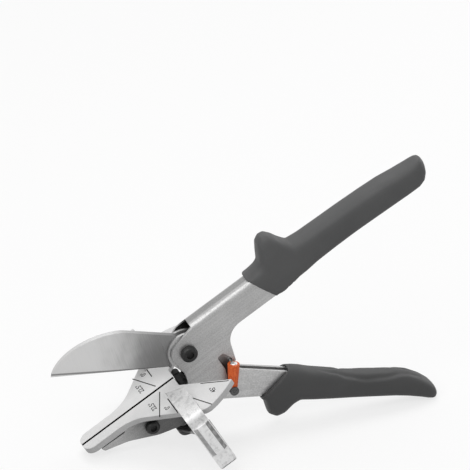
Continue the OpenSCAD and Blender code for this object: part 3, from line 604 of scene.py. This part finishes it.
print("lines and numbers done")

# fences
fenceForm = {"edge": 0.25}
brackets = [("left_fence", "fenceLeft", "fence_left"), ("right_fence", "fenceRight", "fence_right")]
for nodeName, pieceName, body in brackets:
    bracket = copyNode(nodeName, pieceName)
    roundEdges(bracket, fenceForm["edge"])
    fit(bracket, body, "fence_cast", finishes["fence"], nodeName)
print("fences done")

# grips: the moulding is melted into one soft skin
gripForm = {"flatAngle": 0.01, "voxel": 0.7, "melt": 0.55, "passes": 6, "settle": 0.5, "settlePasses": 3}


def meltGrip(nodeName, pieceName):
    grip = copyNode(nodeName, pieceName, gripForm["flatAngle"])
    modify(grip, "REMESH", mode="VOXEL", voxel_size=gripForm["voxel"] * mm)
    modify(grip, "SMOOTH", factor=gripForm["melt"], iterations=gripForm["passes"])
    return grip


# the lower moulding has a lip at its front and a rim round its hollowed top, which dips at the middle
rimForm = {
    # mm along, then degrees up the section
    "rim": [(85, 62), (99, 52), (108, 34), (120, 23), (131, 28), (152, 52)],
    "fade": (86, 100, 150, 162), "halfWide": 8.0, "halfHigh": 8.6,
    "hollow": 1.2, "hollowAt": 17, "hollowWide": 11, "ridge": 0.25, "ridgeWide": 7,
    "lip": 1.1, "lipFade": (70, 86), "lipDeep": 4.0,
}


def hollowGrip(grip):
    form = rimForm
    spots = [toBlade @ vertex.co * metre for vertex in grip.data.vertices]
    tops = {}
    for spot in spots:
        tops[round(spot.x)] = max(tops.get(round(spot.x), spot.z), spot.z)
    start, full, fall, end = form["fade"]
    for vertex, spot in zip(grip.data.vertices, spots):
        below = tops[round(spot.x)] - spot.z
        lip = form["lip"] * (1 - ease(*form["lipFade"], spot.x)) * (1 - ease(0, form["lipDeep"], below))
        up = 1 - below / form["halfHigh"]
        lean = math.atan2(up, abs(spot.y) / form["halfWide"])
        away = math.degrees(lean) - between(form["rim"], spot.x)
        fade = ease(start, full, spot.x) * (1 - ease(fall, end, spot.x)) if up > 0 else 0
        dip = form["hollow"] * math.exp(-((away - form["hollowAt"]) / form["hollowWide"]) ** 2)
        rise = form["ridge"] * math.exp(-(away / form["ridgeWide"]) ** 2)
        inward = Vector((0, -math.copysign(math.cos(lean), spot.y), -math.sin(lean)))
        spot = spot + inward * (dip - rise) * fade + Vector((0, 0, lip))
        vertex.co = bladeSpace @ (spot * mm)
    grip.data.update()


# the upper moulding thins to a lip over the web at its front, and its skirt covers the edge of the cheeks
frontForm = {
    "lip": 1.8, "lipFade": (55, 65), "lipFoot": (15.7, 18.5),
    "skirt": [(65, 2.4), (69, 3.4), (73, 2.6), (84, 0.8), (100, 0)],  # mm along, then mm down
    "skirtFoot": (-2.3, 3.0), "floor": -4.8, "slant": 0.33,
}


def trimFront(grip):
    form = frontForm
    for vertex in grip.data.vertices:
        spot = toAnvil @ vertex.co * metre
        lip = form["lip"] * (1 - ease(*form["lipFade"], spot.x)) * ease(*form["lipFoot"], spot.z)
        skirt = between(form["skirt"], spot.x) * (1 - ease(*form["skirtFoot"], spot.z))
        skirt = max(0, min(skirt, spot.z - form["floor"]))
        vertex.co = anvilSpace @ ((spot + Vector((skirt * form["slant"], 0, -lip - skirt))) * mm)
    grip.data.update()


gripUpper = meltGrip("upper_grip", "gripUpper")
trimFront(gripUpper)
gripLower = meltGrip("lower_grip", "gripLower")
hollowGrip(gripLower)
modify(gripLower, "SMOOTH", factor=gripForm["settle"], iterations=gripForm["settlePasses"])
grips = [
    (gripUpper, "anvil_side", "upperGrip", "upper_grip"),
    (gripLower, "blade_side", "lowerGrip", "lower_grip"),
]
for grip, body, finishName, nodeName in grips:
    pickOnly(grip)
    bpy.ops.object.shade_smooth()
    fit(grip, body, "grip_pvc", finishes[finishName], nodeName)
print("grips done")

# bolts, nuts and small steel
hardware = [  # node, piece, body, slot, finish, width of the rounded edge
    ("pivot_bolt", "pivotScrew", "anvil_side", "black_screw", "blackScrew", 0.3),
    ("pivot_nut", "pivotHexNut", "anvil_side", "black_screw", "blackScrew", 0.25),
    ("anvil_front_bolt", "frontScrew", "anvil_side", "black_screw", "blackScrew", 0.3),
    ("anvil_front_nut", "frontHexNut", "anvil_side", "black_screw", "blackScrew", 0.25),
    ("anvil_rear_bolt", "rearScrew", "anvil_side", "black_screw", "blackScrew", 0.3),
    ("anvil_rear_nut", "rearHexNut", "anvil_side", "black_screw", "blackScrew", 0.25),
    ("swivel_bolt", "swivelScrew", "anvil_side", "black_screw", "blackScrew", 0.3),
    ("heel_bumper", "heelRubber", "anvil_side", "black_rubber", "rubber", 0.3),
    ("spring_pin", "springRod", "anvil_side", "plain_steel", "plainSteel", 0.15),
    ("swivel_washers", "swivelRings", "anvil_side", "plain_steel", "blackScrew", 0.1),
    ("blade_rivets", "bladeStuds", "blade_side", "plain_steel", "plainSteel", 0.15),
    ("latch_pin", "latchStud", "blade_side", "pin_grey", "pin", 0.25),
    ("catch_hook", "hookWire", "latch_lever", "hook_steel", "wire", 0.2),
]
for nodeName, pieceName, body, slotName, finishName, width in hardware:
    piece = copyNode(nodeName, pieceName)
    roundEdges(piece, width)
    fit(piece, body, slotName, finishes[finishName], nodeName)
hiddenNodes = {"pivot_bush": "brass", "swivel_bush": "brass", "pivot_shims": "plainSteel"}
for nodeName, finishName in hiddenNodes.items():
    paint(frame["nodes"][nodeName], finishes[finishName])
print("hardware done")

# latch: ribbed sleeve on a grey hub, with a bright ferrule round the end of the hook
latchForm = {
    "place": (30.5, -24.8), "lean": -5, "across": -10.2, "sides": 48,
    "footR": 2.8, "topR": 3.8, "top": 17.66, "ribs": 16, "linesPerRib": 4, "ribDeep": 0.08,
    "endInset": 0.5, "rimSlack": 0.3, "edge": 0.1, "corner": 50,
    "hubR": 2.9, "hubFrom": -12.8, "hubTo": -3.85, "hubEdge": 0.3,
    "ferruleR": 2.3, "ferruleFrom": 17.4, "ferruleTall": 0.6,
    "ferruleInset": 0.6, "ferruleDome": 0.25, "ferruleEdge": 0.15, "ferruleCorner": 20,
}
latchSpace = (bladeSpace @ shift(latchForm["place"][0], 0, latchForm["place"][1])
              @ Matrix.Rotation(math.radians(latchForm["lean"]), 4, "Y"))
sleeveLines = latchForm["ribs"] * latchForm["linesPerRib"]
sleeve = added(bpy.ops.mesh.primitive_cone_add, "latchSleeve", vertices=sleeveLines,
               radius1=latchForm["footR"] * mm, radius2=latchForm["topR"] * mm, depth=latchForm["top"] * mm)
moveMesh(sleeve, shift(0, 0, latchForm["top"] / 2))
editFaces(sleeve, lambda face: abs(face.normal.z) > facing)
bpy.ops.mesh.inset(thickness=latchForm["endInset"] * mm)
leaveEdit()
# half of the lines round the sleeve are drawn in, which leaves ribs
skinR = (latchForm["footR"] - latchForm["rimSlack"]) * mm
for vertex in sleeve.data.vertices:
    turn = math.atan2(vertex.co.y, vertex.co.x) / (2 * math.pi)
    inRib = round(turn * sleeveLines) % latchForm["linesPerRib"]
    if inRib >= latchForm["linesPerRib"] / 2 and math.hypot(vertex.co.x, vertex.co.y) > skinR:
        vertex.co.x *= 1 - latchForm["ribDeep"]
        vertex.co.y *= 1 - latchForm["ribDeep"]
roundEdges(sleeve, latchForm["edge"], degrees=latchForm["corner"])
moveMesh(sleeve, shift(0, latchForm["across"], 0))
latchHub = added(bpy.ops.mesh.primitive_cylinder_add, "latchHub", vertices=latchForm["sides"],
                 radius=latchForm["hubR"] * mm, depth=(latchForm["hubTo"] - latchForm["hubFrom"]) * mm)
hubMiddle = (latchForm["hubFrom"] + latchForm["hubTo"]) / 2
moveMesh(latchHub, shift(0, hubMiddle, 0) @ Matrix.Rotation(math.pi / 2, 4, "X"))
roundEdges(latchHub, latchForm["hubEdge"], segments=3)
moveMesh(latchHub, latchSpace)
fit(latchHub, "latch_lever", "pin_grey", finishes["pin"])
moveMesh(sleeve, latchSpace)
smoothOver(sleeve, degrees=35)
fit(sleeve, "latch_lever", "latch_orange", finishes["orange"], "latch")
latchFerrule = added(bpy.ops.mesh.primitive_cylinder_add, "latchFerrule", vertices=latchForm["sides"],
                     radius=latchForm["ferruleR"] * mm, depth=latchForm["ferruleTall"] * mm)
editFaces(latchFerrule, lambda face: face.normal.z > facing)
bpy.ops.mesh.inset(thickness=latchForm["ferruleInset"] * mm)
bpy.ops.transform.translate(value=(0, 0, latchForm["ferruleDome"] * mm))
leaveEdit()
roundEdges(latchFerrule, latchForm["ferruleEdge"], degrees=latchForm["ferruleCorner"])
ferruleMiddle = latchForm["ferruleFrom"] + latchForm["ferruleTall"] / 2
moveMesh(latchFerrule, latchSpace @ shift(0, latchForm["across"], ferruleMiddle))
fit(latchFerrule, "latch_lever", "hook_steel", finishes["wire"])
print("latch done")

# return spring: the same wire as the solid, drawn finer
springForm = {
    "at": (26.0, 4.5), "coilR": 4.5, "wireR": 0.6, "half": 3.2, "legSide": -1.8, "turns": 3, "steps": 96,
    "webEnd": (40.0, 12.95), "ridge": (14.0, 5.0), "hip": (29.0, -4.0), "restShare": 0.4,
    "open": 38.1, "stopGap": 0.3,
}


def springPath():
    form = springForm
    turn = Matrix.Rotation(-math.radians(form["open"]), 2)
    ridge, hip = turn @ Vector(form["ridge"]), turn @ Vector(form["hip"])
    outward = Vector((ridge.y - hip.y, hip.x - ridge.x)).normalized()
    resting = ridge * (1 - form["restShare"]) + hip * form["restShare"]
    restEnd = resting + outward * (form["wireR"] + form["stopGap"])
    at, webEnd = Vector(form["at"]), Vector(form["webEnd"])
    fromWeb, fromRest = at - webEnd, at - restEnd
    into = math.atan2(fromWeb.y, fromWeb.x) - math.asin(form["coilR"] / fromWeb.length)
    outOf = math.atan2(fromRest.y, fromRest.x) + math.asin(form["coilR"] / fromRest.length) + math.pi
    sweep = (outOf - into) % (2 * math.pi) + 2 * math.pi * form["turns"]
    points = [(webEnd.x, form["legSide"], webEnd.y)]
    for step in range(form["steps"] + 1):
        share = step / form["steps"]
        angle = into - math.pi / 2 + sweep * share
        points.append((at.x + form["coilR"] * math.cos(angle), form["half"] * (2 * share - 1),
                       at.y + form["coilR"] * math.sin(angle)))
    points.append((restEnd.x, form["half"], restEnd.y))
    return points


springCurve = bpy.data.curves.new("coilSpring", "CURVE")
springCurve.dimensions = "3D"
springCurve.bevel_depth = springForm["wireR"] * mm
springCurve.bevel_resolution = 3
springCurve.use_fill_caps = True
wireRun = springCurve.splines.new("POLY")
route = springPath()
wireRun.points.add(len(route) - 1)
for spot, place in zip(wireRun.points, route):
    spot.co = (*(Vector(place) * mm), 1)
coilSpring = bpy.data.objects.new("coilSpring", springCurve)
bpy.context.scene.collection.objects.link(coilSpring)
pickOnly(coilSpring)
bpy.ops.object.convert(target="MESH")
coilSpring = newest("coilSpring")
moveMesh(coilSpring, anvilSpace)
smoothOver(coilSpring, degrees=50)
paint(coilSpring, finishes["spring"])
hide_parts("return_spring")
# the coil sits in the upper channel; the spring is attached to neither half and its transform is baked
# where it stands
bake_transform(coilSpring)
print("spring done")

# floor: white to the camera and to reflections, darker to soft light so that undersides stay dark
stageForm = {"size": 60.0, "seen": 0.95, "bounce": 0.35, "show": 0.72}
floor = added(bpy.ops.mesh.primitive_plane_add, "floor", size=stageForm["size"], location=(0, 0, 0))
floorFinish = Finish("floorWhite", Roughness=0.8)
softRay = floorFinish.node("ShaderNodeLightPath", out="Is Diffuse Ray")
floorFinish.feed(Base_Color=floorFinish.blend(softRay, grey(stageForm["seen"]), grey(stageForm["bounce"])))
lit = Wire(floorFinish, floorFinish.shader.outputs["BSDF"])
shine = floorFinish.node("ShaderNodeEmission", {}, {"Color": grey(1.0), "Strength": 1.0})
shown = floorFinish.node("ShaderNodeMixShader", {}, {
    0: floorFinish.seen() * stageForm["show"], 1: lit, 2: shine})
floorFinish.plug(floorFinish.tree.nodes["Material Output"].inputs["Surface"], shown)
floor.data.materials.append(floorFinish.material)

# world: the same white where it is seen or mirrored, a soft fill elsewhere
fill = {"level": 0.34}
world = bpy.context.scene.world or bpy.data.worlds.new("studio")
bpy.context.scene.world = world
world.use_nodes = True
sky = NodeSheet(world.node_tree)
skyLevel = sky.node("ShaderNodeMapRange", {}, {"Value": sky.seen(), "To Min": fill["level"]})
backdrop = sky.tree.nodes["Background"]
sky.plug(backdrop.inputs["Color"], grey(1.0))
sky.plug(backdrop.inputs["Strength"], skyLevel)

# lamps: a broad key from the front left, one from above and a low one from the right
lampAim = Vector((0, 0, 0.08))
lamps = [  # name, place in metres, size, watts
    ("keyLamp", (-0.7, -0.9, 1.1), 1.4, 11),
    ("topLamp", (0.1, 0.5, 1.4), 1.1, 8),
    ("rimLamp", (1.1, 0.3, 0.5), 0.7, 3),
]
for name, place, size, watts in lamps:
    bpy.ops.object.light_add(type="AREA", location=place)
    lamp = bpy.context.object
    lamp.name = name
    lamp.data.shape = "DISK"
    lamp.data.size = size
    lamp.data.energy = watts
    lamp.rotation_euler = (lampAim - Vector(place)).to_track_quat("-Z", "Y").to_euler()

# camera: so far off that the view is close to parallel
cameraForm = {
    "sight": (0.2924, 0.8280, -0.4787), "sensor": 36,
    "field": 0.28905, "aside": 0.0306, "above": 0.0698, "distance": 12.0, "clip": 100,  # metres
}
sight = Vector(cameraForm["sight"]).normalized()
right = sight.cross((0, 0, 1)).normalized()
up = right.cross(sight)
target = pivot + right * cameraForm["aside"] + up * cameraForm["above"]
cameraData = bpy.data.cameras.new("photoCamera")
cameraData.sensor_width = cameraForm["sensor"]
cameraData.lens = cameraForm["sensor"] * cameraForm["distance"] / cameraForm["field"]
cameraData.clip_end = cameraForm["clip"]
camera = bpy.data.objects.new("photoCamera", cameraData)
bpy.context.scene.collection.objects.link(camera)
turnTo = Matrix((right, up, -sight)).transposed().to_4x4()
camera.matrix_world = Matrix.Translation(target - sight * cameraForm["distance"]) @ turnTo
bpy.context.scene.camera = camera
bpy.context.scene.view_settings.view_transform = "Standard"
print("stage done")
